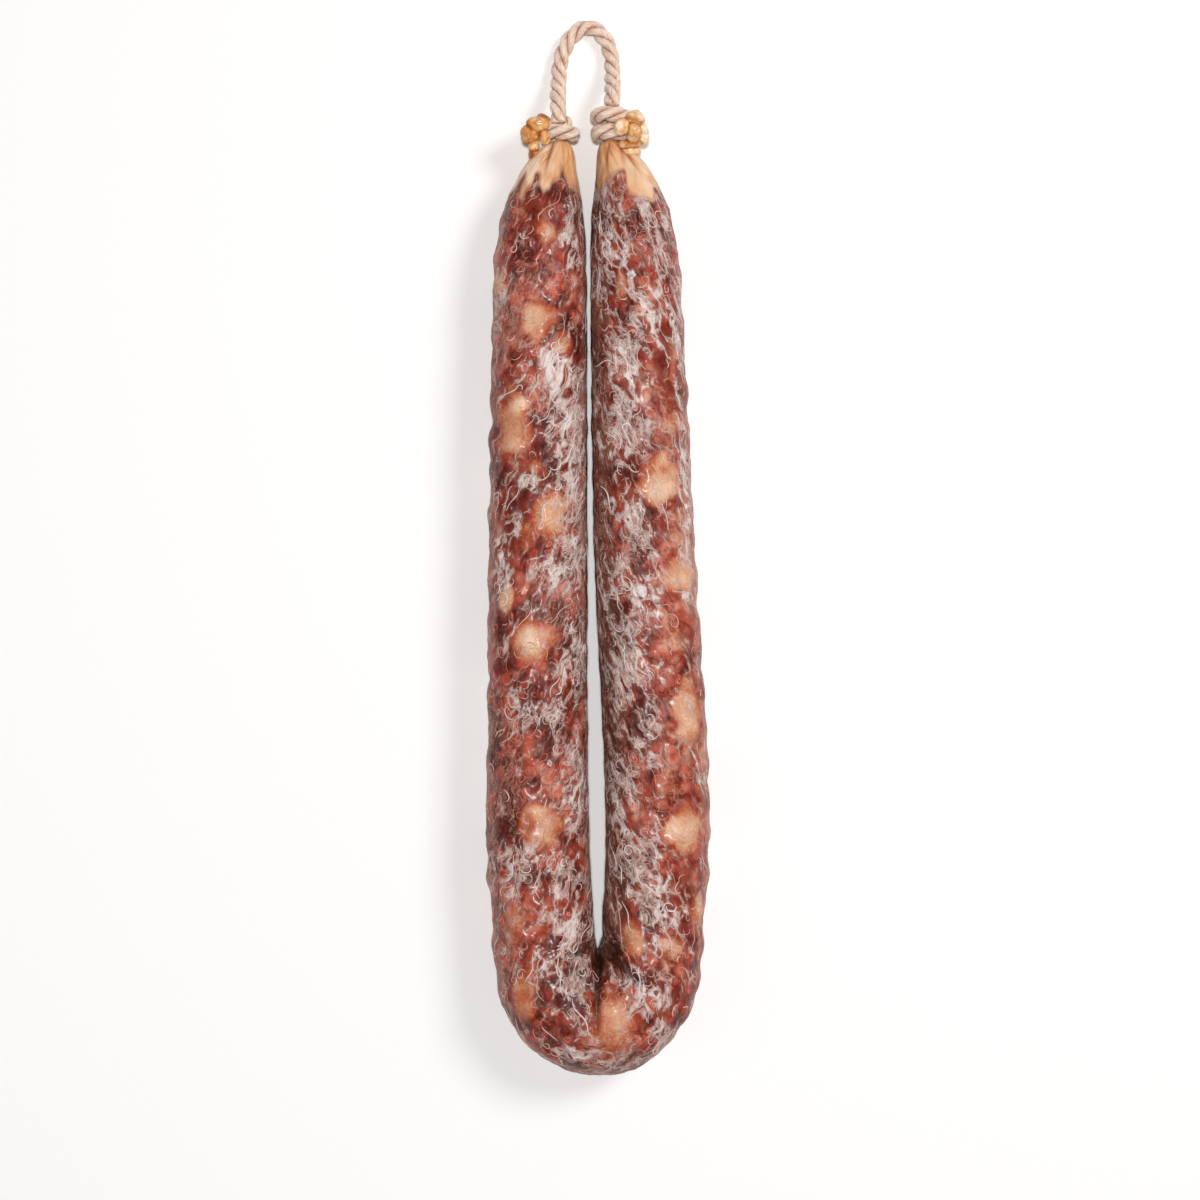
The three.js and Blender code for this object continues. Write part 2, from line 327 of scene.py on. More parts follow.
twineValues = {
    "lay": 13.7,  # mm for one turn of a strand
    "loopRadius": 2.25,
    "loopDiameter": 4.2,
    "loopRaised": 0.15,
    "wrapRadius": 2.2,
    "ring": 3.6,  # the wraps' own radius, along the twine's middle
    "ringHeight": 11.8,
    "laysOnRing": 5 / 3,
    "loopRows": 420,
    "cols": 66,
    "strandShare": 0.555,  # of the twine's radius, for one strand
    "colour": (234, 200, 178),
    "shade": (188, 138, 112),
    "pale": (255, 238, 222),
    "groove": (104, 64, 46),
}

# the route of the loop's solid, in metres
loopRoute = np.array([
    (-0.0106, 0.1302, 0.0119), (-0.0108, 0.1326, 0.0114), (-0.0109, 0.1353, 0.0101),
    (-0.0110, 0.1380, 0.0081), (-0.0109, 0.1408, 0.0057), (-0.0108, 0.1438, 0.0037),
    (-0.0106, 0.1472, 0.0024), (-0.0097, 0.1514, 0.0021), (-0.0078, 0.1552, 0.0021),
    (-0.0054, 0.1577, 0.0021), (-0.0027, 0.1587, 0.0021), (0.0000, 0.1578, 0.0021),
    (0.0023, 0.1553, 0.0021), (0.0037, 0.1519, 0.0022), (0.0042, 0.1486, 0.0028),
    (0.0043, 0.1455, 0.0044), (0.0043, 0.1426, 0.0067), (0.0043, 0.1399, 0.0091),
    (0.0042, 0.1374, 0.0109), (0.0040, 0.1352, 0.0118),
])


def strandOutline(angle, radius, share):
    # distance from the middle to the edge of three circles set round it, in a direction:
    # d cos a + root of (r squared - d squared sin squared a), a being measured from the nearest
    r, d = share * radius, (1 - share) * radius
    a = np.mod(angle + tau / 6, tau / 3) - tau / 6
    edge = d * np.cos(a) + np.sqrt(np.maximum(r * r - (d * np.sin(a)) ** 2, 0))
    side = np.arctan2(edge * np.sin(a), edge * np.cos(a) - d)  # place round the strand itself
    return edge, side


def twineSurface(path, radius, lay, up, cols, turned=0.0):
    # path plus the strand outline in the plane across it; the outline turns once each lay,
    # and the columns turn with it so that they follow the strands
    path = np.asarray(path, float)
    tangent = unit(np.gradient(path, axis=0))
    side = unit(np.cross(tangent, up))
    top = np.cross(side, tangent)
    s = np.concatenate([[0], np.cumsum(np.linalg.norm(np.diff(path, axis=0), axis=1))])
    column = tau * np.arange(cols + 1) / cols
    angle = column[None, :] + tau * s[:, None] / lay + turned
    radius = np.broadcast_to(radius, s.shape)[:, None]
    edge, around = strandOutline(column[None, :] + 0 * angle, radius, twineValues["strandShare"])
    yarn = 0.035 * np.cos(9 * around + tau * s[:, None] / lay) + 0.02 * np.cos(
        17 * around - 2 * tau * s[:, None] / lay + 1.3)
    r = edge + yarn * radius / 2
    points = (path[:, None] + side[:, None] * (r * np.cos(angle))[..., None]
              + top[:, None] * (r * np.sin(angle))[..., None])
    along = np.stack([s[:, None] + 0 * angle, angle * radius], -1)
    return points, along


def twineMaterial(values):
    # fibres drawn out along the strands, with painted shade in the grooves between them: a soft
    # darkening and short dark slits
    material, wire = newMaterial("twine")
    along = wire.node("UVMap", {"uv_map": "along"})
    fibre = along.scaled(0.35, 3.4, 1.0).noise(1.0, 3.0, 0.6)
    fine = along.scaled(0.8, 9.0, 1.0).noise(1.0, 2.0, 0.6)
    place = wire.node("TexCoord", output="Object").scaled(1000, 1000, 1000)
    cloud = place.noise(0.25, 2.0)
    depth = wire.attribute("depth")
    base = (fibre * 0.95 + fine * 0.55 + cloud * 0.3 - 0.3 - depth * 0.22).ramp(
        (0.3, values["shade"]), (0.52, values["colour"]), (0.76, values["pale"]))
    slit = depth.between(0.72, 0.98) * place.noise(0.45, 1.0).between(0.4, 0.56)
    # painted shade: short slits and a soft darkening where the strands meet
    colour = base.over(values["groove"], (slit * 0.85).most(depth.between(0.6, 1.0) * 0.3))
    height = fibre * 0.22 + fine * 0.14
    bump = wire.node("Bump", {}, {"Strength": 0.9, "Distance": 0.001, "Height": height})
    finishMaterial(wire, {"Specular IOR Level": 0.3, "Sheen Weight": 0.25,
                          "Sheen Roughness": 0.5, "Subsurface Weight": 0.1,
                          "Subsurface Scale": 0.001, "Subsurface Radius": (1.0, 0.6, 0.4)},
                   {"Base Color": colour, "Roughness": 0.72 + fine * 0.2, "Normal": bump})
    return material


def strandDepth(points, cols):
    # 1 in the grooves between strands, falling evenly to 0 on their backs
    column = tau * np.arange(cols) / cols
    edge, _ = strandOutline(column, 1.0, twineValues["strandShare"])
    share = (edge.max() - edge) / (edge.max() - edge.min())
    return np.broadcast_to(share, points.shape[:2]).copy()


twine = twineMaterial(twineValues)


def twinePiece(name, path, radius, up, turned, ringLay=None):
    # a length of twine along the path, or a closed ring of it where ringLay is given
    v, cols = twineValues, twineValues["cols"]
    points, along = twineSurface(path, radius, ringLay or v["lay"], up, cols, turned)
    points = points[:-1, :-1] if ringLay else points[:, :-1]
    piece = surfacePiece(name, points, along, {"depth": strandDepth(points, cols)},
                         closed=bool(ringLay), shift=round(v["laysOnRing"] * cols) % cols)
    piece.data.materials.append(twine)
    return piece


def makeLoop(values):
    # the twine surface along cubic pieces through the route's points
    knots = np.concatenate([[0], np.cumsum(np.linalg.norm(np.diff(loopRoute, axis=0), axis=1))])
    fine = through(knots, loopRoute, np.linspace(0, knots[-1], values["loopRows"]))
    path = fine / metres + np.array([0, 0, values["loopRaised"]])
    piece = twinePiece("twineLoop", path, values["loopRadius"], (0, 0, 1), 0.6)
    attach(piece, "root")
    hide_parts("twine_loop")
    fine[::6].tolist() + [fine[-1].tolist()]


makeLoop(twineValues)

# each wrap: its place, how far its strands are turned, how it leans, and the middle, half
# thickness and half length of its tucked end
wraps = {
    "twine_wrap_left": {"x": -10.4, "y": 127.2, "turned": 0.4, "lean": (-0.5, 0.25),
                        "tuck": (-8.9, 130.8, 7.6, 1.8, 2.0)},
    "twine_wrap_right_lower": {"x": 3.8, "y": 127.2, "turned": 1.3, "lean": (0.15, -0.1)},
    "twine_wrap_right_upper": {"x": 3.8, "y": 132.1, "turned": 2.4, "lean": (-0.35, 0.2),
                               "tuck": (6.0, 133.2, 7.6, 1.9, 1.9)},
}


def makeWrap(name, place, values):
    # the twine surface carried round a circle in the plane across the neck
    turn = np.linspace(0, tau, 181)
    ring = values["ring"]
    leanX, leanZ = place["lean"]
    path = np.stack([place["x"] + ring * np.cos(turn),
                     place["y"] + 0.1 * (leanX * np.cos(turn) + leanZ * np.sin(turn)),
                     values["ringHeight"] + ring * np.sin(turn)], -1)
    piece = twinePiece(name.replace("_", "-"), path, values["wrapRadius"], (0, 1, 0),
                       place["turned"], tau * ring / values["laysOnRing"])
    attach(piece, "root")
    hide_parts(name)


def makeTuck(name, place):
    # a short length of twine rounded off at both ends: its radius is thick times the root of
    # 1 - share to the fourth
    x, y, z, thick, long = place["tuck"]
    share = np.linspace(-0.98, 0.98, 60)
    path = np.stack([x + 0.4 * share * thick, y + share * long, z + 0 * share], -1)
    radius = thick * np.sqrt(1 - share ** 4)
    piece = twinePiece(name.replace("_", "-") + "-tuck", path, radius, (0, 0, 1), 1.1)
    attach(piece, "root")
    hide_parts(name)


for name, place in wraps.items():
    makeWrap(name, place, twineValues)
    if "tuck" in place:
        makeTuck(name, place)
print("wraps made")


# the sausage's own form: two legs and a bend between them, on one closed grid

formValues = {
    "restDepth": 0.7,
    "roundness": 0.985,
    "pivot": (0.2, -95.6),
    "bendReach": (29.2, 38.7),  # pivot to the outer side: beside it, at the foot
    "slot": (1.2, 4.0),  # pivot to the inner side: beside it, below it
    "bendHeight": 14.6,
    "bendHalf": 14.0,  # half the thickness of a leg where the bend begins
    "neckHeight": 11.8,
    "neckY": 127.2,
    "taper": 38.0,
    "pinchRadius": 1.1,
    "pinchStart": 125.2,
    "bendRows": 90.0,  # mm of grid given to the bend
}

# a leg: its side, the place of its neck, the end of its pinched casing, and for stations along
# Y its middle and its half width
legs = {
    "left": {"side": -1, "neckX": -10.4, "end": 129.8, "stations": [
        (-95.6, -15.0, 14.0), (-73, -16.3, 14.3), (-40, -16.5, 13.9), (0, -16.4, 13.7),
        (38, -16.2, 13.5), (71, -16.0, 13.2), (94, -15.7, 12.8), (105, -15.0, 12.8),
        (116, -13.6, 12.4)]},
    "right": {"side": 1, "neckX": 3.8, "end": 134.7, "stations": [
        (-95.6, 15.4, 14.0), (-73, 16.8, 14.4), (-40, 16.0, 14.4), (0, 13.7, 14.1),
        (38, 12.2, 13.6), (71, 11.2, 12.9), (94, 10.3, 12.3), (105, 9.3, 12.3),
        (116, 7.6, 12.0)]},
}
leftLength = legs["left"]["end"] - formValues["pivot"][1]
rightLength = legs["right"]["end"] - formValues["pivot"][1]
wholeLength = leftLength + formValues["bendRows"] + rightLength


def legSection(leg, y, f):
    # middle and half sizes of a leg at y: the line through its stations, narrowed to the pinch
    # by the square root of a quarter sine wave, and raised to the height of the neck
    stations = np.array(leg["stations"] + [(f["pinchStart"], leg["neckX"], leg["stations"][-1][2])])
    line = through(stations[:, 0], stations[:, 1:], y, level=True)
    x, full = line[..., 0], line[..., 1]
    below = np.clip((f["pinchStart"] - y) / f["taper"], 0, 1)
    half = f["pinchRadius"] + (full - f["pinchRadius"]) * np.sqrt(np.sin(tau / 4 * below))
    toNeck = smooth((y - (f["neckY"] - f["taper"])) / (f["taper"] - 6))
    z = (f["roundness"] * full - f["restDepth"]) * (1 - toNeck) + f["neckHeight"] * toNeck
    middle = np.stack([x, y, z], -1)
    out = np.stack([np.full_like(y, leg["side"]), 0 * y, 0 * y], -1)
    return middle, out, half, f["roundness"] * half


def bendSection(angle, f):
    # the same across the bend, at an angle round the pivot: sine squared swells it at the foot,
    # and the slot's sides run straight to its point there
    foot = np.sin(angle) ** 2
    inner = 1 / (np.abs(np.cos(angle)) / f["slot"][0] + np.sin(angle) / f["slot"][1])
    outer = f["bendReach"][0] + (f["bendReach"][1] - f["bendReach"][0]) * foot
    height = f["roundness"] * f["bendHalf"] * (1 - foot) + f["bendHeight"] * foot
    out = np.stack([-np.cos(angle), -np.sin(angle), 0 * angle], -1)
    middle = np.stack([f["pivot"][0] + 0 * angle, f["pivot"][1] + 0 * angle,
                       height - f["restDepth"]], -1) + out * ((outer + inner) / 2)[..., None]
    return middle, out, (outer - inner) / 2, height


def section(t, f):
    # t runs in mm of grid from the left neck's tip through the bend to the right one's
    angle = np.clip((t - leftLength) / f["bendRows"], 0, 1) * np.pi
    onLeft, onRight = t < leftLength, t > leftLength + f["bendRows"]
    yLeft = legs["left"]["end"] - t
    yRight = f["pivot"][1] + (t - leftLength - f["bendRows"])
    parts = [legSection(legs["left"], np.maximum(yLeft, f["pivot"][1]), f),
             bendSection(angle, f),
             legSection(legs["right"], np.maximum(yRight, f["pivot"][1]), f)]
    chosen = []
    for left, bend, right in zip(*parts):
        a, b = (onLeft, onRight) if left.ndim == t.ndim else (onLeft[..., None],
                                                              onRight[..., None])
        chosen.append(np.where(a, left, np.where(b, right, bend)))
    return chosen


# the relief and the markings of the casing

# fat under the show side: x, y, reach across and reach along, in mm, and how pale it is
fatPlaces = [
    (-15.8, 74.5, 4, 5.2, 1), (-10, 68, 2.6, 3, 0.8), (-14, 98.5, 3.2, 3, 0.75),
    (-22.6, 46, 4.2, 8.4, 1), (-11.6, 20.5, 5, 6.2, 1), (-17.3, -13, 5.4, 5.8, 1),
    (-15.1, -64, 5.4, 5.8, 1), (-20, -111, 3.4, 7.4, 0.9), (6.5, 84, 1.6, 3.2, 0.8),
    (17, 30, 4.8, 6.2, 1), (21.6, 4, 4.6, 5, 0.8), (24.8, -33, 3.8, 8, 0.95),
    (23.4, -64.5, 4.6, 5.6, 1), (10, -95.6, 3.2, 4.4, 0.85), (4.2, -117, 5.4, 8.6, 0.82),
    (-24.5, -2, 2.2, 4, 0.7), (-27, 84, 1.8, 4, 0.6), (27.5, -88, 1.8, 5, 0.6),
    (-17, 34, 1.8, 2.2, 0.5), (19.6, 48, 4, 5, 0.42), (22.5, 16, 3.2, 7, 0.36),
    (-18.7, 15.2, 2.6, 5, 0.42), (13.6, 79, 3.4, 5, 0.3), (-21.5, 66, 3.2, 6, 0.3),
    (-16, 56, 3.4, 3.6, 0.34), (18.6, -52, 3.6, 5.6, 0.36), (20, -97, 3.2, 5, 0.4),
    (-21.6, -92, 3, 6, 0.36), (-19, -44, 3.4, 5, 0.32), (21, -14, 3.2, 5, 0.34),
    (-14, -88, 3, 4, 0.26), (-9, -118, 3.2, 4, 0.24), (15, 62, 3, 4.6, 0.26),
]

# bloom on the show side: x, y, reach across, reach along and weight
bloomPlaces = [
    (-12, 61, 4.6, 6, 1), (-7.2, 95, 2.6, 8, 0.9), (-26.4, 85, 2, 7, 0.6),
    (-8.3, 47, 4, 15, 1), (-7.6, 29, 3.6, 14, 0.95), (-17.5, 29.5, 4.4, 2.6, 0.85),
    (-7.2, 12, 3.6, 12, 0.9), (-11, 5.5, 5, 4.6, 0.8), (-25.4, 6, 2, 12, 0.65),
    (-6.5, -19, 3.2, 12, 0.9), (-12, -33, 5, 5, 0.7), (-20, -30, 3, 6, 0.6),
    (-9.4, -78, 4, 6, 1), (-22.3, -77, 5, 6, 0.8), (-7.4, -94, 4.2, 9, 0.95),
    (-5.9, -104.6, 3.8, 8, 0.95), (-13, -102, 4, 3, 0.8), (-6.4, -54, 3, 14, 0.7),
    (3.3, 97, 4.4, 13, 0.8), (13.6, 105, 3.6, 6, 0.75), (18.4, 96, 2.4, 11, 0.65),
    (15.6, 75.5, 5.4, 7, 0.75), (7.6, 63, 4.6, 8, 0.7), (22.6, 65, 1.7, 24, 0.7),
    (7.6, 47, 5.8, 12, 0.86), (10.4, 19, 3.4, 8, 0.78), (24.2, 32, 1.9, 22, 0.75),
    (13, -1, 4.6, 8, 0.7), (6, 2, 4, 9, 0.55), (8, -20, 5.2, 12, 0.82),
    (12, -38, 4, 9, 0.7), (10, -72, 5, 6, 0.85), (15.8, -84, 3.6, 11, 0.95),
    (14.9, -110.4, 5, 4.6, 0.9), (9.4, -105, 3.6, 3, 0.8), (-7.7, -126.5, 6, 3, 0.7),
    (16.2, -122, 4, 5, 0.75), (5.2, -131, 7, 3, 0.6), (7, -52, 3.6, 10, 0.65),
]

# streaks of bloom that slant outwards to the bend: both ends, weight and half width, in mm
bloomStreaks = [
    ((5.4, -62), (16.2, -85), 1.1, 1.7), ((12.6, -76), (27, -101), 0.95, 0.7),
    ((8, -80), (20, -97), 0.85, 0.6), ((-11.9, -71.5), (-27.4, -78), 0.95, 0.9),
    ((-4.7, -98.6), (-15, -103.4), 1, 0.9), ((-5.4, -72), (-6.6, -92), 0.9, 1),
    ((-16, 27.2), (-22.8, 31.4), 1, 1.1), ((-20.4, 20), (-29, 3.4), 0.9, 0.8),
    ((-15.6, 2), (-26.4, -17), 0.8, 0.7), ((2.6, 24), (17.6, 7.4), 1, 1.3),
    ((17, 8.6), (28.6, -5.6), 0.8, 0.7), ((17.6, -19), (25.4, -33), 0.85, 0.7),
    ((21.6, -38.6), (31, -53), 0.85, 0.7), ((-5.6, -44), (-14, -36), 0.7, 0.8),
    ((-12, 72), (-22, 56), 0.8, 0.9), ((5.4, 84), (17, 70), 0.9, 1),
    ((3.4, 100), (8.4, 84), 0.8, 1), ((-10.4, 52), (-17.4, 62), 0.8, 0.8),
    ((15.4, 71), (23.4, 58), 0.8, 0.8), ((3.4, -8), (14.6, -24), 0.9, 1.2),
]

# creases in the show side, deepest at the first end: both ends, depth and half width, in mm
creasePlaces = [
    ((0.4, -99.6), (-0.3, -125), 2.3, 1.2), ((2.6, -99), (15, -109.5), 2.4, 1.4),
    ((-2.2, -97.6), (-14.5, -104), 1.4, 1.3), ((3.2, -98.2), (7.4, -99.6), 2.8, 2),
    ((-12.6, 125), (-15, 113), 1.7, 0.7), ((-9, 124), (-8.4, 115), 0.7, 0.6),
    ((7, 123), (7.4, 113), 1.1, 0.65), ((8.5, 122), (14.4, 111.4), 1.5, 0.7),
    ((3, 124), (0.6, 112), 0.7, 0.6), ((1, -101), (8, -113), 0.8, 0.7),
    ((-3, -99), (-9, -110), 0.6, 0.7),
]

# folded rolls of casing by the inner end of the bend: both ends, height and half width, in mm
rollPlaces = [
    ((3.6, -102), (13, -106.4), 1.1, 1.5), ((-2.6, -92), (-0.8, -100.5), 1, 1.4),
    ((-3.4, -101), (-4.6, -108), 0.6, 1.6), ((2.2, -105), (4.4, -113), 0.5, 1.6),
]

reliefValues = {
    "rows": 858,
    "cols": 114,
    "crowding": 0.4,  # how much denser the columns lie on the show side
    "lumpSize": 4.7,
    "lumpHeight": 0.5,
    "pebbleSize": 2.2,
    "pebbleHeight": 0.13,
    "fatHeight": 0.75,
    "ridgeHeight": 0.22,
    "pleatDepth": 0.085,
    "tube": 13.8,  # radius of the tube on which the skin is unrolled
    "screw": 0.36,  # mm round for each mm along
}


def markings(p, turn):
    # shares from 0 to 1 of fat, bloom, film and neck at points of the plain form, and the
    # lumps of meat under the casing
    upper = smooth(0.5 + 1.3 * np.sin(turn))
    wobble = softNoise(p, 4.0, 21) + 0.5 * softNoise(p, 1.7, 22)
    fat, swell = 0 * turn, 0 * turn
    for x, y, across, along, pale in fatPlaces:
        away = np.hypot((p[..., 0] - x) / across, (p[..., 1] - y) / along) + 0.3 * wobble
        fat = np.maximum(fat, pale * smooth((1.68 - away) / 1.4))
        swell = np.maximum(swell, bell(np.maximum(away, 0) ** 1.5))
    first, _, name = lumps(p, (8.5, 10.0, 8.5), 60)
    stray = smooth((0.42 - first + 0.05 * wobble) / 0.3) * (name > 0.8)
    fat = np.maximum(fat * upper, stray * (1 - upper))
    bloom = 0 * turn
    for x, y, across, along, weight in bloomPlaces:
        away = np.hypot((p[..., 0] - x) / across, (p[..., 1] - y) / along)
        bloom = np.maximum(bloom, weight * bell(0.85 * away))
    bent = p + np.array([1.3, 1.3, 0.0]) * wobble[..., None]
    bloom = np.maximum(bloom, alongLines(bent, bloomStreaks, 0.25))
    drift = softNoise(p, (7.0, 13.0, 7.0), 31) + 0.5 * softNoise(p, (3.0, 5.0, 3.0), 32)
    bloom = bloom * upper + (1 - upper) * smooth(0.35 + 0.6 * drift) + 0.14 * drift
    film = smooth((np.abs(np.cos(turn)) - 0.7) / 0.22) + 0.3 * drift
    # inner: painted shade on the flanks where the legs face each other, stronger on the right leg
    inner = smooth((-np.cos(turn) - 0.5 + 0.16 * np.tanh(p[..., 0] / 3)) / 0.44) * (
        0.86 + 0.14 * np.tanh(p[..., 0] / 3))
    cloud = 0.5 + 0.42 * softNoise(p, 6.5, 121) + 0.26 * softNoise(p, 3.0, 122)
    # cloud is made paler on the show side of the right leg's outer half, painted light, and darker
    # towards the foot of the bend, painted shade
    cloud = (cloud + 0.17 * upper * smooth((p[..., 0] - 12) / 7)
             - 0.16 * smooth((-98 - p[..., 1]) / 14))
    patch = 0.5 + 0.45 * softNoise(p, (8, 14, 8), 123) + 0.3 * softNoise(p, (3, 5, 3), 124)
    swirl = np.stack([softNoise(p, 3.4, s) + 0.4 * softNoise(p, 1.6, s + 5)
                      for s in (131, 132, 133)], -1)
    reach = 3.2 * softNoise(p, (3.4, 30, 3.4), 41) + 1.6 * softNoise(p, (1.5, 16, 1.5), 42)
    neck = smooth((p[..., 1] - 110.6 + 1.6 * reach) / 3.4)
    warped = p + 0.9 * np.stack([softNoise(p, 2.6, s) for s in (51, 52, 53)], -1)
    near, next_, tone = lumps(warped, reliefValues["lumpSize"] * np.array([1.0, 1.12, 1.0]), 70)
    dome = np.clip(1 - (near / 0.8) ** 2, 0, 1)
    # groove: nearness to the edge between two lumps, used to paint shade into the relief's grooves
    groove = smooth(1 - (next_ - near) / 0.24)
    small, _, _ = lumps(warped, reliefValues["pebbleSize"] * np.ones(3), 75)
    return {"fat": np.clip(fat, 0, 1), "bloom": np.clip(bloom, 0, 1.2), "film": film,
            "neck": neck, "tone": tone, "groove": groove, "dome": dome, "swell": swell,
            "upper": upper, "pebble": np.clip(1 - (small / 0.8) ** 2, 0, 1), "inner": inner,
            "cloud": cloud, "patch": patch, "swirl": swirl}


def alongLines(p, places, fading):
    # the greatest of the bells across straight lines, each running out towards its second end
    total = 0 * p[..., 0]
    for start, end, most, half in places:
        line = np.subtract(end, start)
        away = p[..., :2] - np.array(start)
        share = np.clip(away @ line / (line @ line), 0, 1)
        gone = np.linalg.norm(away - share[..., None] * line, axis=-1)
        total = np.maximum(total, most * (1 - share) ** fading * bell(gone / half))
    return total


def skinNormal(t, turn, f=formValues):
    # away from the middle of the section: each half size divides its own direction
    _, out, half, height = section(t, f)
    up = np.array([0.0, 0.0, 1.0])
    return unit(out * (np.cos(turn) / np.maximum(half, 0.1))[..., None]
                + up * (np.sin(turn) / np.maximum(height, 0.1))[..., None])


def skinSurface(t, turn, f=formValues, v=reliefValues):
    # the section's oval, its pleats near the neck, and the relief laid on along its own normal:
    # soft waves, fat, lumps of meat, slanting ridges and creases
    middle, out, half, height = section(t, f)
    up = np.array([0.0, 0.0, 1.0])
    cos, sin = np.cos(turn), np.sin(turn)
    plain = middle + out * (half * cos)[..., None] + up * (height * sin)[..., None]
    x, y = plain[..., 0], plain[..., 1]
    mark = markings(plain, turn)
    side = np.where(x < 0, 1.0, -1.0)
    body = smooth((half - 5) / 7)
    settled = 1 - 0.8 * smooth((-sin - 0.7) / 0.3)
    calm = (0.25 + 0.75 * smooth(0.9 + cos)) * settled
    pinched = smooth(1 - (f["pinchStart"] - y) / 26)
    wander = turn + 0.3 * softNoise(plain, (4, 14, 4), 81)
    pleat = 0.8 * (np.abs(np.cos(3.5 * wander)) - 0.64) + 0.4 * (
        np.abs(np.cos(8.5 * wander + 0.7)) - 0.64)
    waves = (0.17 * np.sin(0.62 * y + 1.7 * sin + 0.2 * x) + 0.16 * np.sin(0.37 * y - 3 * turn)
             + 0.1 * np.sin(0.9 * x + 0.5 * y + 2 * turn))
    slant = np.stack([x - side * 0.55 * y, 0.18 * (y + side * 0.4 * x), plain[..., 2]], -1)
    ridge = softNoise(slant, (2.3, 2.6, 3.4), 91) + 0.5 * softNoise(slant, (1.2, 1.6, 2.0), 92)
    rise = body * calm * (waves + v["fatHeight"] * mark["upper"] * mark["swell"])
    bumps = (v["lumpHeight"] * (mark["dome"] - 0.5) + v["pebbleHeight"] * (mark["pebble"] - 0.5)
             + v["ridgeHeight"] * ridge)
    rise += body * (0.4 + 0.6 * calm) * (0.4 + 0.6 * mark["upper"]) * bumps * (
        1 - 0.45 * mark["fat"])
    deep = alongLines(plain, creasePlaces, 0.7) * mark["upper"] * smooth((half - 1.6) / 2)
    rolled = alongLines(plain, rollPlaces, 0.25) * mark["upper"]
    rise += half * v["pleatDepth"] * pleat * pinched - deep + rolled
    point = plain + skinNormal(t, turn, f) * (rise * smooth((half - 1.15) / 1.5))[..., None]
    point[..., 2] = np.maximum(point[..., 2], 0)
    # fold: where painted shade goes, in the deep creases and the hollows of the pleats
    mark["fold"] = np.clip(smooth((deep - 0.15) / 1.4) + pinched * smooth(-pleat / 0.5) * 0.3, 0, 1)
    mark["bent"] = plain + 1.5 * mark["swirl"]
    return point, mark


def sampledTurn(v):
    # columns crowd together near the top: turn = place plus crowding times its cosine
    place = tau * np.arange(v["cols"] + 1) / v["cols"]
    return place + v["crowding"] * np.cos(place)


markNames = ("fat", "bloom", "film", "neck", "tone", "groove", "fold", "inner", "cloud",
             "patch", "dome")


def makeSkin(v):
    # the skin's surface on even steps of t and on turns that crowd near the top
    t = np.linspace(0.02, wholeLength - 0.02, v["rows"])
    turn = sampledTurn(v)
    rows, cols = np.meshgrid(t, turn, indexing="ij")
    points, mark = skinSurface(rows[:, :-1], cols[:, :-1])
    along = np.stack([rows, v["tube"] * cols], -1)
    keep = {key: mark[key] for key in (*markNames, "bent")}
    # the flow: the skin unrolled on a tube, with a slow screw that slants strands to the slot
    far = rows[:, :-1] - wholeLength / 2
    screwed = cols[:, :-1] - v["screw"] * np.sqrt(far ** 2 + 400) / v["tube"]
    keep["flow"] = 1.3 * mark["swirl"] + np.stack(
        [v["tube"] * np.cos(screwed), far, v["tube"] * np.sin(screwed)], -1)
    piece = surfacePiece("sausageSkin", points, along, keep)
    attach(piece, "root")
    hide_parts("sausage")
    return piece


skin = makeSkin(reliefValues)
print("skin made, triangles:", 2 * reliefValues["rows"] * reliefValues["cols"])


# the casing's material

skinColours = {
    "redDark": (92, 24, 15),
    "red": (160, 54, 37),
    "redLight": (190, 92, 70),
    "redPale": (220, 154, 132),
    # gap: painted shade between the lumps, and also the meat's own dark patches and the pores
    "gap": (52, 16, 10),
    "fleck": (214, 154, 134),
    "glaze": (172, 76, 46),
    "fatShade": (190, 108, 70),
    "fat": (216, 160, 124),
    "fatPale": (242, 208, 178),
    "film": (188, 141, 125),
    "bloomShade": (150, 111, 99),
    "bloom": (208, 182, 172),
    "bloomPale": (246, 239, 236),
    "line": (230, 212, 206),
    "lineRed": (204, 143, 121),
    "neck": (232, 176, 130),
    "neckShade": (206, 132, 80),
    "neckPale": (248, 217, 184),
    "neckGold": (222, 154, 86),
    # painted shade for the creases and pleats
    "fold": (60, 26, 14),
    # painted shade for the flanks where the legs face each other
    "inner": (82, 52, 41),
}


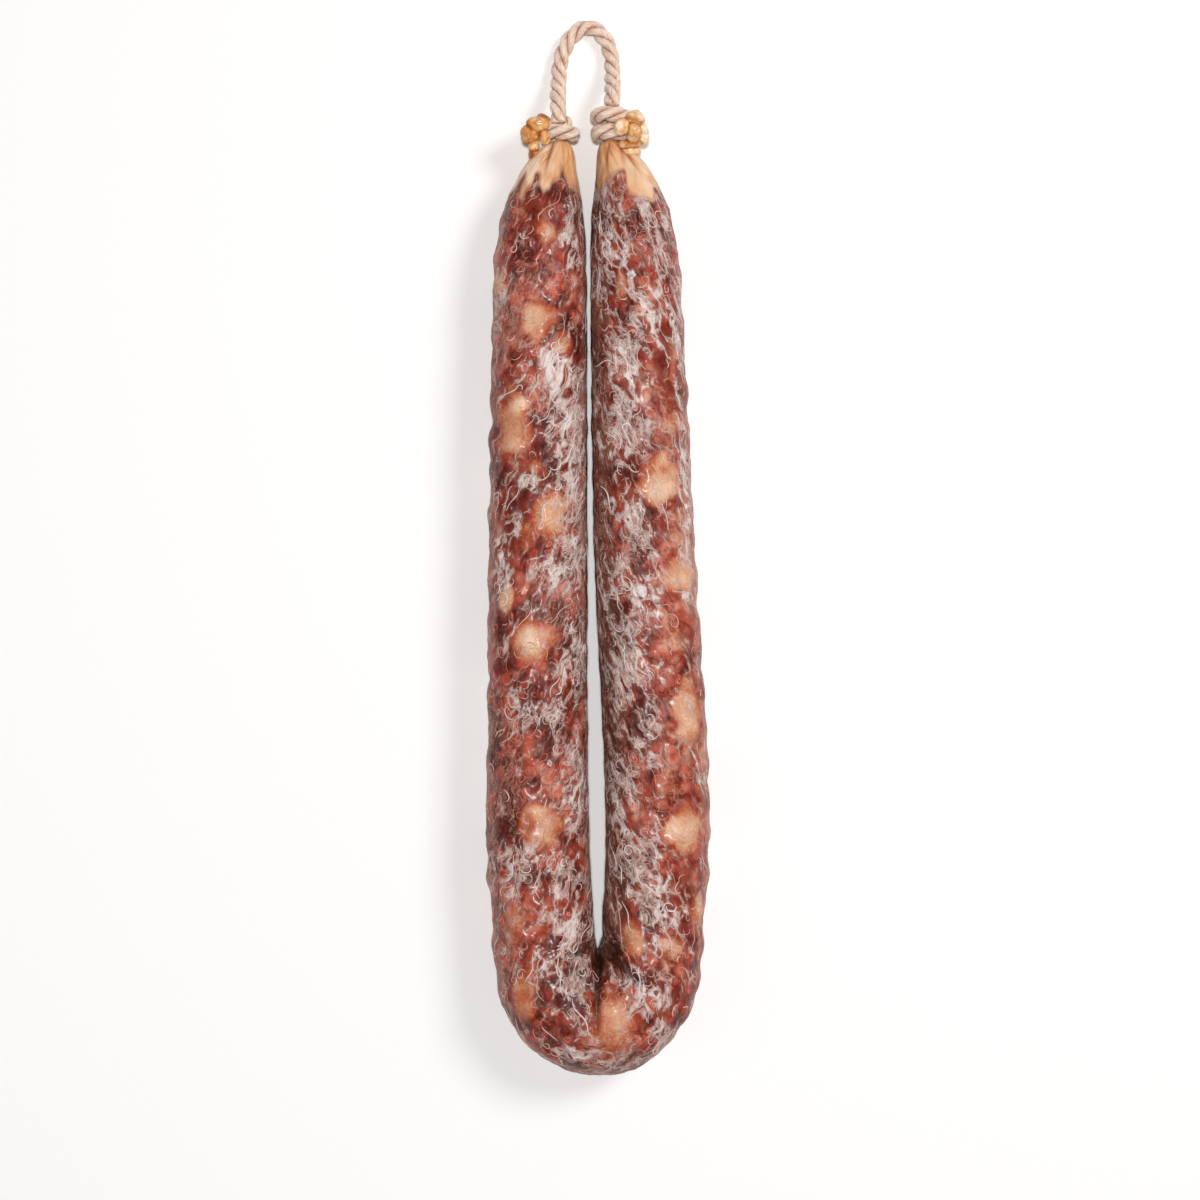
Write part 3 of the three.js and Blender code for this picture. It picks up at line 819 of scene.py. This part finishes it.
def casingMaterial(c):
    # layers from the meat outwards: meat, fat, neck, film, bloom, fine lines and folds
    material, wire = newMaterial("casing")
    flow, bent = (wire.attribute(name, "Vector") for name in ("flow", "bent"))
    fat, bloomMark, film, neck, tone, groove, fold, inner, cloud, patch, dome = (
        wire.attribute(name) for name in markNames)
    grain = bent.noise(1.1, 2.0, 0.55)
    torn = flow.scaled(1.0, 0.42, 1.0).noise(0.36, 3.0, 0.55)
    stria = flow.scaled(1.0, 0.12, 1.0).noise(1.7, 2.0, 0.6)
    lump = bent.cells(0.3)

    # meat: soft patches of red, every lump painted a little paler on its back, painted light, and
    # darker towards the next, painted shade
    meat = (tone * 0.18 + cloud * 0.85 + grain * 0.1 + (0.42 - lump) * 0.5 + torn * 0.3 - 0.35)
    meat = meat.ramp((0.08, c["redDark"]), (0.36, c["red"]), (0.64, c["redLight"]),
                     (0.95, c["redPale"]))
    # painted shade in the grooves between lumps and towards each lump's edge; the darker low
    # patches are the meat's own tone
    dark = (groove * 0.95).most(lump.between(0.55, 0.95) * 0.9) * 0.64
    colour = meat.over(c["gap"], dark.most((0.44 - patch).between(0.0, 0.34) * 0.5))
    fleck = (stria * 0.9 + grain * 0.2 + (patch - 0.5) * 0.3).between(0.52, 0.92) * 0.45
    colour = colour.over(c["fleck"], fleck)

    # fat shows through: a glassy orange rim, then tan, palest where it lies nearest
    share = fat + (torn - 0.5) * 0.55 + (grain - 0.5) * 0.3
    fatShare = share.between(0.1, 0.62)
    fatTone = fat * 0.61 + (cloud - 0.5) * 0.7 + (stria - 0.5) * 0.25 + (grain - 0.5) * 0.4
    fatColour = fatTone.ramp(
        (0.14, c["glaze"]), (0.34, c["fatShade"]), (0.56, c["fat"]), (0.86, c["fatPale"]))
    colour = colour.over(fatColour, fatShare * 0.92)

    # neck: bare gathered casing, straw coloured with fibres along it, painted shade in its folds,
    # and a pale torn rim
    fibre = flow.scaled(1.1, 0.11, 1.1).noise(0.75, 2.0, 0.45)
    neckColour = (fibre * 0.75 + cloud * 0.7 + stria * 0.3 + fold * -0.3 - 0.32).ramp(
        (0.24, c["neckShade"]), (0.48, c["neck"]), (0.74, c["neckPale"]))
    gold = (patch + (fibre - 0.5) * 0.5 + (cloud - 0.5) * 0.3).between(0.42, 0.8)
    neckColour = neckColour.over(c["neckGold"], gold * 0.5)
    colour = colour.over(neckColour, neck * 0.95)
    rim = 1 - abs(neck + (torn - 0.5) * 0.3 - 0.4).between(0.0, 0.16)

    # film: thin grey veil, streaked along the leg at the flanks, and painted shade in dark brown
    # where the legs face each other
    bare = 1 - neck * 0.8
    veil = film * 0.5 + bloomMark * 0.35 + (stria - 0.5) * 1.5 + (patch - 0.5) * 0.5
    veil = veil.between(0.25, 1.0) * bare
    colour = colour.over(c["film"], veil * 0.66)
    # innerShade: painted shade on the flanks where the legs face each other
    innerShade = (inner + (torn - 0.5) * 0.9).between(0.15, 1.0) * (1 - neck * 0.6)
    colour = colour.over(c["inner"], innerShade * 0.72)
    colour = colour.over(c["film"], (stria + grain * 0.5).between(0.72, 1.0) * innerShade * 0.6)

    # bloom: a web of strands drawn out along the flow. Where it is thick the strands grow wide
    # and close up to a crust, and only pores stay open.
    drawn = flow.scaled(1.0, 0.5, 1.0)
    web = drawn.cells(0.31, "DISTANCE_TO_EDGE")
    pore = drawn.cells(0.6, "DISTANCE_TO_EDGE")
    reach = bloomMark * 0.37 + (torn - 0.5) * 1.05 - 0.11
    cover = reach - web
    holes = (pore + (grain - 0.5) * 0.5).between(0.27, 0.36)
    thin = (cover + 0.26).between(0.0, 0.36) * bare
    thick = cover.between(0.0, 0.08) * (1 - holes * 0.9) * (1 - fatShare * 0.35) * bare
    colour = colour.over(c["bloomShade"], thin * (0.46 - fatShare * 0.26))
    bloomColour = (stria * 1.1 + grain * 0.5 + cover * 0.7 + (cloud - 0.5) * 0.5 - 0.46).ramp(
        (0.14, c["bloomShade"]), (0.48, c["bloom"]), (0.8, c["bloomPale"]))
    colour = colour.over(bloomColour, thick * 0.84)
    colour = colour.over(c["gap"], holes * cover.between(0.02, 0.1) * 0.5 * bare)

    # fine lines: the torn edge of the bloom, arcs on the backs of lumps, the pores' web
    edge = 1 - abs(cover).between(0.0, 0.035)
    arcs = (1 - abs(lump - 0.37).between(0.0, 0.055)) * patch.between(0.34, 0.5)
    arcs = arcs.most((1 - abs(lump - 0.2).between(0.0, 0.045)) * cloud.between(0.42, 0.55))
    fine = (1 - pore.between(0.03, 0.09)) * (torn + (patch - 0.5) * 0.3).between(0.5, 0.58)
    arcs = arcs.most((1 - abs(dome - 0.55).between(0.0, 0.14)) * torn.between(0.48, 0.6))
    lines = (edge * (1 - fatShare * 0.5)).most(arcs * 0.8)
    lines = lines.most(fine * (0.25 + bloomMark * 0.6)) * bare
    lines = lines.most(rim * 0.6)
    lineColour = (bloomMark + thin * 0.5 + film * 0.2 + neck * 0.4).ramp(
        (0.1, c["lineRed"]), (0.8, c["line"]))
    colour = colour.over(lineColour, lines * 0.7)

    # painted shade, dark, in the creases and in the hollows of the pleats
    colour = colour.over(c["fold"], fold * (0.85 - neck * 0.5))

    height = ((0.5 - lump) * 0.4 * (1 - fatShare * 0.4) * (1 - neck) + grain * 0.08
              + lines * 0.1 + thick * 0.1)
    bump = wire.node("Bump", {}, {"Strength": 1.0, "Distance": 0.001, "Height": height})
    dry = thick.most(lines * 0.5).most(veil * 0.4).most(thin * 0.5)
    finishMaterial(wire, {"Specular IOR Level": 0.14, "Coat Roughness": 0.2},
                   {"Base Color": colour, "Roughness": 0.45 + dry * 0.4,
                    "Coat Weight": 0.21 - dry * 0.2, "Normal": bump})
    return material


skin.data.materials.append(casingMaterial(skinColours))
print("casing material made")


# threads of dry bloom, curled over the casing

threadValues = {
    "tries": 5000,
    "most": 760,
    "points": 18,
    "sides": 6,
    "radius": (0.08, 0.21),  # mm
    "flat": 0.6,  # height over width
    "dull": (200, 142, 126),
    "pale": (238, 229, 225),
    "seed": 11,
}


def threadPaths(v, luck):
    # starting places kept where bloom is thick, then headings that turn steadily, close into a
    # loop or sway along the leg; their running sums give the way along and across
    t = luck.uniform(16, wholeLength - 20, v["tries"])
    turn = luck.uniform(0, tau, v["tries"])
    place, mark = skinSurface(t, turn)
    wish = (0.2 + 0.4 * mark["bloom"]) * (0.45 + 0.55 * mark["upper"]) * (1 - 0.85 * mark["neck"])
    wish *= smooth((np.hypot(place[:, 0] - 0.4, place[:, 1] + 99) - 4) / 5)
    wish *= smooth((place[:, 2] - 1.5) / 2)
    kept = np.flatnonzero(luck.uniform(size=v["tries"]) < wish)[:v["most"]]
    t, turn, bloom = t[kept, None], turn[kept, None], mark["bloom"][kept, None]
    count = len(kept)
    kind = luck.uniform(size=(count, 1))
    arc, loop = kind < 0.7, kind > 0.975
    steady = luck.uniform(0.8, 2.7, (count, 1))
    sweep = np.where(arc, steady, np.where(loop, luck.uniform(3.4, 4.6, (count, 1)), 0.3))
    length = np.where(arc, steady * luck.uniform(1.3, 2.8, (count, 1)),
                      np.where(loop, luck.uniform(5.5, 9.5, (count, 1)),
                               luck.uniform(4.0, 12.0, (count, 1))))
    sweep = sweep * luck.choice([-1, 1], (count, 1))
    share = np.linspace(0, 1, v["points"])[None, :]
    slant = np.where(section(t, formValues)[0][..., 0] < 0, 0.5, -0.5)
    heading = np.where(arc | loop, luck.uniform(0, tau, (count, 1)),
                       tau / 4 + slant + 0.25 * luck.normal(size=(count, 1)))
    sway = np.where(arc | loop, 0.12, 0.4) * np.sin(
        tau * luck.uniform(0.6, 1.6, (count, 1)) * share + tau * luck.uniform(size=(count, 1)))
    heading = heading + sweep * share * (0.6 + 0.8 * share) + sway
    step = length / v["points"]
    across, along = np.cumsum(step * np.cos(heading), 1), np.cumsum(step * np.sin(heading), 1)
    ahead, behind = skinSurface(t + 1, turn)[0], skinSurface(t - 1, turn)[0]
    stretch = np.maximum(np.linalg.norm(ahead - behind, axis=-1) / 2, 0.3)
    half = np.maximum(section(t, formValues)[2], 3.0)
    return t + along / stretch, turn + across / half, bloom, share


def makeThreads(v):
    # flattened tubes round the paths, thinned to the ends by the root of a sine, with tips
    luck = np.random.default_rng(v["seed"])
    t, turn, bloom, share = threadPaths(v, luck)
    count, points, sides = len(t), v["points"], v["sides"]
    normal = skinNormal(t, turn)
    middle = skinSurface(t, turn)[0]
    tangent = unit(np.gradient(middle, axis=1))
    side = unit(np.cross(tangent, normal))
    radius = luck.uniform(*v["radius"], (count, 1)) * np.sqrt(np.sin(np.pi * (0.05 + 0.9 * share)))
    angle = tau * (np.arange(sides) + 0.5) / sides
    ring = (np.cross(side, tangent)[:, :, None] * v["flat"] * np.cos(angle)[:, None]
            + side[:, :, None] * np.sin(angle)[:, None])
    body = middle[:, :, None] + ring * radius[..., None, None]
    body[..., 2] = np.maximum(body[..., 2], 0)
    ends = middle[:, [0, -1]] + tangent[:, [0, -1]] * np.array([-0.1, 0.1])[:, None]
    verts = np.concatenate([body.reshape(count, -1, 3), ends], 1)
    each = points * sides + 2
    grid = np.arange(points * sides).reshape(points, sides)
    quads = np.stack([grid[:-1], grid[1:], np.roll(grid[1:], -1, 1), np.roll(grid[:-1], -1, 1)],
                     -1).reshape(-1, 4)
    first = np.stack([grid[0], np.roll(grid[0], -1), np.full(sides, each - 2)], -1)
    last = np.stack([np.roll(grid[-1], -1), grid[-1], np.full(sides, each - 1)], -1)
    start = each * np.arange(count)[:, None, None]
    faces = [face for some in (quads, first, last)
             for face in (start + some[None]).reshape(-1, some.shape[1]).tolist()]
    pale = np.clip(0.15 + 0.75 * bloom + 0.35 * luck.uniform(-1, 1, (count, 1)), 0, 1)
    piece = meshPiece("bloomThreads", verts.reshape(-1, 3), faces, facesOut(verts[0], quads),
                      {"pale": np.broadcast_to(pale, (count, each)).reshape(-1, 1)})
    material, wire = newMaterial("dryThread")
    colour = wire.attribute("pale").ramp((0.0, v["dull"]), (1.0, v["pale"]))
    finishMaterial(wire, {"Roughness": 0.6, "Specular IOR Level": 0.4, "Subsurface Weight": 0.1,
                          "Subsurface Scale": 0.001, "Subsurface Radius": (1.0, 0.6, 0.5)},
                   {"Base Color": colour})
    piece.data.materials.append(material)
    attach(piece, "root")
    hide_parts("sausage")
    print("threads made:", count, "triangles:", count * (2 * sides * (points - 1) + 2 * sides))


makeThreads(threadValues)


# knots of gathered casing: folded lobes of dried skin beside the wraps

# each lobe: middle, half sizes, turn about Z, and how pale it is
knots = {
    "casingKnotLeft": [
        (-18.8, 127.1, 13.9, 2.8, 2.7, 2.7, 0, 0.42),
        (-16.3, 129.3, 14.8, 3.8, 2.35, 2.4, -0.22, 0.6),
        (-15.2, 131.1, 12, 1.9, 1.6, 2, 0, 0.1), (-14.5, 126.2, 15.2, 1.5, 2.5, 1.3, 0.1, 0.5),
        (-17.5, 123.8, 13.1, 1.5, 2.6, 1.4, -0.1, 0.8),
        (-17.4, 121.3, 12.8, 1.9, 1.6, 1.5, 0, 0.3)],
    "casingKnotRight": [
        (10.3, 130.9, 14.8, 2.7, 2.8, 2.6, 0, 0.8), (6.8, 128.1, 17.2, 2.5, 2.8, 2.3, 0.25, 0.55),
        (10, 126.7, 17, 2.1, 2.8, 2.2, 0.1, 0.5), (12.6, 126.9, 14.6, 1.7, 3.2, 2.3, 0.1, 0.75),
        (9.4, 128.9, 15.4, 2.9, 2.4, 2.3, 0, 0.6), (8.9, 123.9, 15.2, 3.4, 1.5, 1.9, 0.12, 0.4),
        (9, 122.3, 14, 3.1, 1.6, 1.9, 0.1, 0.5)],
}
knotValues = {
    "rows": 64,
    "cols": 96,
    "pucker": 0.035,
    "voxel": 0.12,
    # seam: the colour of the painted shade in the seams between lobes
    "casingKnotLeft": {"seam": (112, 58, 22), "shade": (160, 86, 28), "colour": (216, 140, 62),
                       "pale": (246, 204, 152)},
    "casingKnotRight": {"seam": (132, 72, 30), "shade": (184, 110, 48), "colour": (230, 172, 110),
                        "pale": (255, 234, 206)},
}


def lobeSurface(lobe, v, seed):
    # an oval bowed by soft noise, its radius swelling and dipping with noise and with folds
    x, y, z, across, along, thick, turned, _ = lobe
    down, round_ = np.meshgrid(np.linspace(0.03, np.pi - 0.03, v["rows"]),
                               tau * np.arange(v["cols"]) / v["cols"], indexing="ij")
    ball = np.stack([np.sin(down) * np.cos(round_), np.cos(down),
                     np.sin(down) * np.sin(round_)], -1)
    bowed = ball + 0.2 * np.stack([softNoise(ball, 0.9, seed + s) for s in (11, 12, 13)], -1)
    wander = round_ + 0.5 * softNoise(ball, 0.8, seed + 7)
    fold = np.abs(np.cos(2.5 * wander + seed)) - 0.64 + 0.5 * (
        np.abs(np.cos(5.5 * wander - seed)) - 0.64)
    r = 1 + 0.05 * softNoise(ball, 0.7, seed) + v["pucker"] * fold * (0.4 + 0.6 * np.sin(down))
    p = bowed * r[..., None] * np.array([across, along, thick])
    cos, sin = np.cos(turned), np.sin(turned)
    return np.stack([x + cos * p[..., 0] - sin * p[..., 1],
                     y + sin * p[..., 0] + cos * p[..., 1], z + p[..., 2]], -1)


def knotMarks(mesh, lobes):
    # each point's distance from every lobe's middle in half sizes, its turn undone. The nearest
    #     # gives its paleness; a seam lies where the two nearest are alike. The seam and near marks
    #     # carry painted shade in and by the seams, and rim a painted highlight along the lobes'
    #     edges.
    p = np.empty(3 * len(mesh.vertices))
    mesh.vertices.foreach_get("co", p)
    p = p.reshape(-1, 3) / metres
    fields = []
    for x, y, z, across, along, thick, turned, _ in lobes:
        dx, dy = p[:, 0] - x, p[:, 1] - y
        cos, sin = np.cos(turned), np.sin(turned)
        away = np.stack([(cos * dx + sin * dy) / across, (cos * dy - sin * dx) / along,
                         (p[:, 2] - z) / thick])
        fields.append(np.linalg.norm(away, axis=0))
    fields = np.stack(fields)
    order = np.sort(fields, axis=0)
    share = np.exp(-9 * (fields - order[0]))
    pale = (share * np.array([lobe[-1] for lobe in lobes])[:, None]).sum(0) / share.sum(0)
    apart = order[1] - order[0] + 0.1 * softNoise(p, 1.2, 7)
    marks = {"pale": pale, "seam": 1 - smooth(apart / 0.17), "near": 1 - smooth(apart / 0.7),
             "rim": bell((apart - 0.32) / 0.14)}
    setMarks(mesh, {key: mark[:, None] for key, mark in marks.items()})


def knotMaterial(name, v):
    # amber skin, paler on the lobes' backs, with painted shade in and near the seams and creases
    # between them and a painted highlight along the lobes' edges
    material, wire = newMaterial(name)
    place = wire.node("TexCoord", output="Object").scaled(1000, 1000, 1000)
    cloud = place.noise(0.42, 2.0, 0.5)
    streak = place.scaled(1.0, 0.45, 1.0).noise(1.2, 3.0, 0.6, 1.2)
    crease = 1 - abs(place.noise(0.36, 1.0, 0.5, 1.0) - 0.5).between(0.0, 0.03)
    seam, rim = wire.attribute("seam"), wire.attribute("rim")
    tone = wire.attribute("pale") * 0.62 + cloud * 0.9 + streak * 0.4 - 0.38
    colour = (tone + rim * 0.1 - wire.attribute("near") * 0.26).ramp(
        (0.22, v["shade"]), (0.52, v["colour"]), (0.82, v["pale"]))
    colour = colour.over(v["seam"], (seam * 0.5).most(crease * 0.34))
    bump = wire.node("Bump", {}, {"Strength": 1.0, "Distance": 0.001,
                                  "Height": streak * 0.14 - crease * 0.1})
    finishMaterial(wire, {"Specular IOR Level": 0.35, "Subsurface Weight": 0.12,
                          "Subsurface Scale": 0.0015, "Subsurface Radius": (1.0, 0.5, 0.2),
                          "Coat Weight": 0.25, "Coat Roughness": 0.16},
                   {"Base Color": colour, "Roughness": 0.42 + streak * 0.15, "Normal": bump})
    return material


def makeKnot(name, lobes, v):
    # the lobes are run together into one skin, then eased
    shells = [surfacePiece(f"{name}{k}", lobeSurface(lobe, v, 3 * k + 1)) for k, lobe in
              enumerate(lobes)]
    piece = shells[0]
    bpy.ops.object.select_all(action="DESELECT")
    for shell in shells:
        shell.select_set(True)
    bpy.context.view_layer.objects.active = piece
    bpy.ops.object.join()
    piece.name = name
    remesh = piece.modifiers.new("oneSkin", "REMESH")
    remesh.mode = "VOXEL"
    remesh.voxel_size = v["voxel"] * metres
    ease = piece.modifiers.new("eased", "SMOOTH")
    ease.factor, ease.iterations = 0.5, 2
    bpy.context.view_layer.update()
    final = bpy.data.meshes.new_from_object(
        piece.evaluated_get(bpy.context.evaluated_depsgraph_get()))
    piece.modifiers.clear()
    piece.data = final
    final.polygons.foreach_set("use_smooth", np.ones(len(final.polygons), bool))
    final.materials.clear()
    final.materials.append(knotMaterial(name, v[name]))
    knotMarks(final, lobes)
    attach(piece, "root")
    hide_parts("sausage")
    print(name, "made, faces:", len(final.polygons))


for name, lobes in knots.items():
    makeKnot(name, lobes, knotValues)


# floor and light

stageValues = {
    "floorColour": (250, 249, 248),
    "world": 0.13,
    "lamps": {
        "above": {"place": (0.0, -0.01, 1.7), "size": 0.11, "power": 18.4},
        "key": {"place": (0.95, 0.62, 1.3), "size": 0.6, "power": 11.0},
        "fill": {"place": (-1.2, -0.3, 1.2), "size": 1.2, "power": 1.2},
    },
}


def makeStage(v):
    # a pale floor, and soft round lamps turned towards the middle
    mesh = bpy.data.meshes.new("floor")
    mesh.from_pydata([(-3, -3, 0), (3, -3, 0), (3, 3, 0), (-3, 3, 0)], [], [(0, 1, 2, 3)])
    floor = bpy.data.objects.new("floor", mesh)
    bpy.context.scene.collection.objects.link(floor)
    material, wire = newMaterial("floorPaper")
    finishMaterial(wire, {"Roughness": 0.9, "Specular IOR Level": 0.1,
                          "Base Color": rgba(*v["floorColour"])}, {})
    mesh.materials.append(material)
    for key, values in v["lamps"].items():
        light = bpy.data.lights.new(key, "AREA")
        light.shape = "DISK"
        light.size = values["size"]
        light.energy = values["power"]
        lamp = bpy.data.objects.new(key, light)
        lamp.location = values["place"]
        bpy.context.scene.collection.objects.link(lamp)
        towards = -np.array(values["place"])
        lamp.rotation_euler = (
            float(np.arctan2(np.hypot(towards[0], towards[1]), -towards[2])), 0.0,
            float(np.arctan2(towards[1], towards[0]) - np.pi / 2))
    world = bpy.data.worlds.new("studio")
    world.use_nodes = True
    world.node_tree.nodes["Background"].inputs["Color"].default_value = (1, 1, 1, 1)
    world.node_tree.nodes["Background"].inputs["Strength"].default_value = v["world"]
    bpy.context.scene.world = world
    bpy.context.scene.view_settings.view_transform = "Standard"


makeStage(stageValues)
print("stage made")
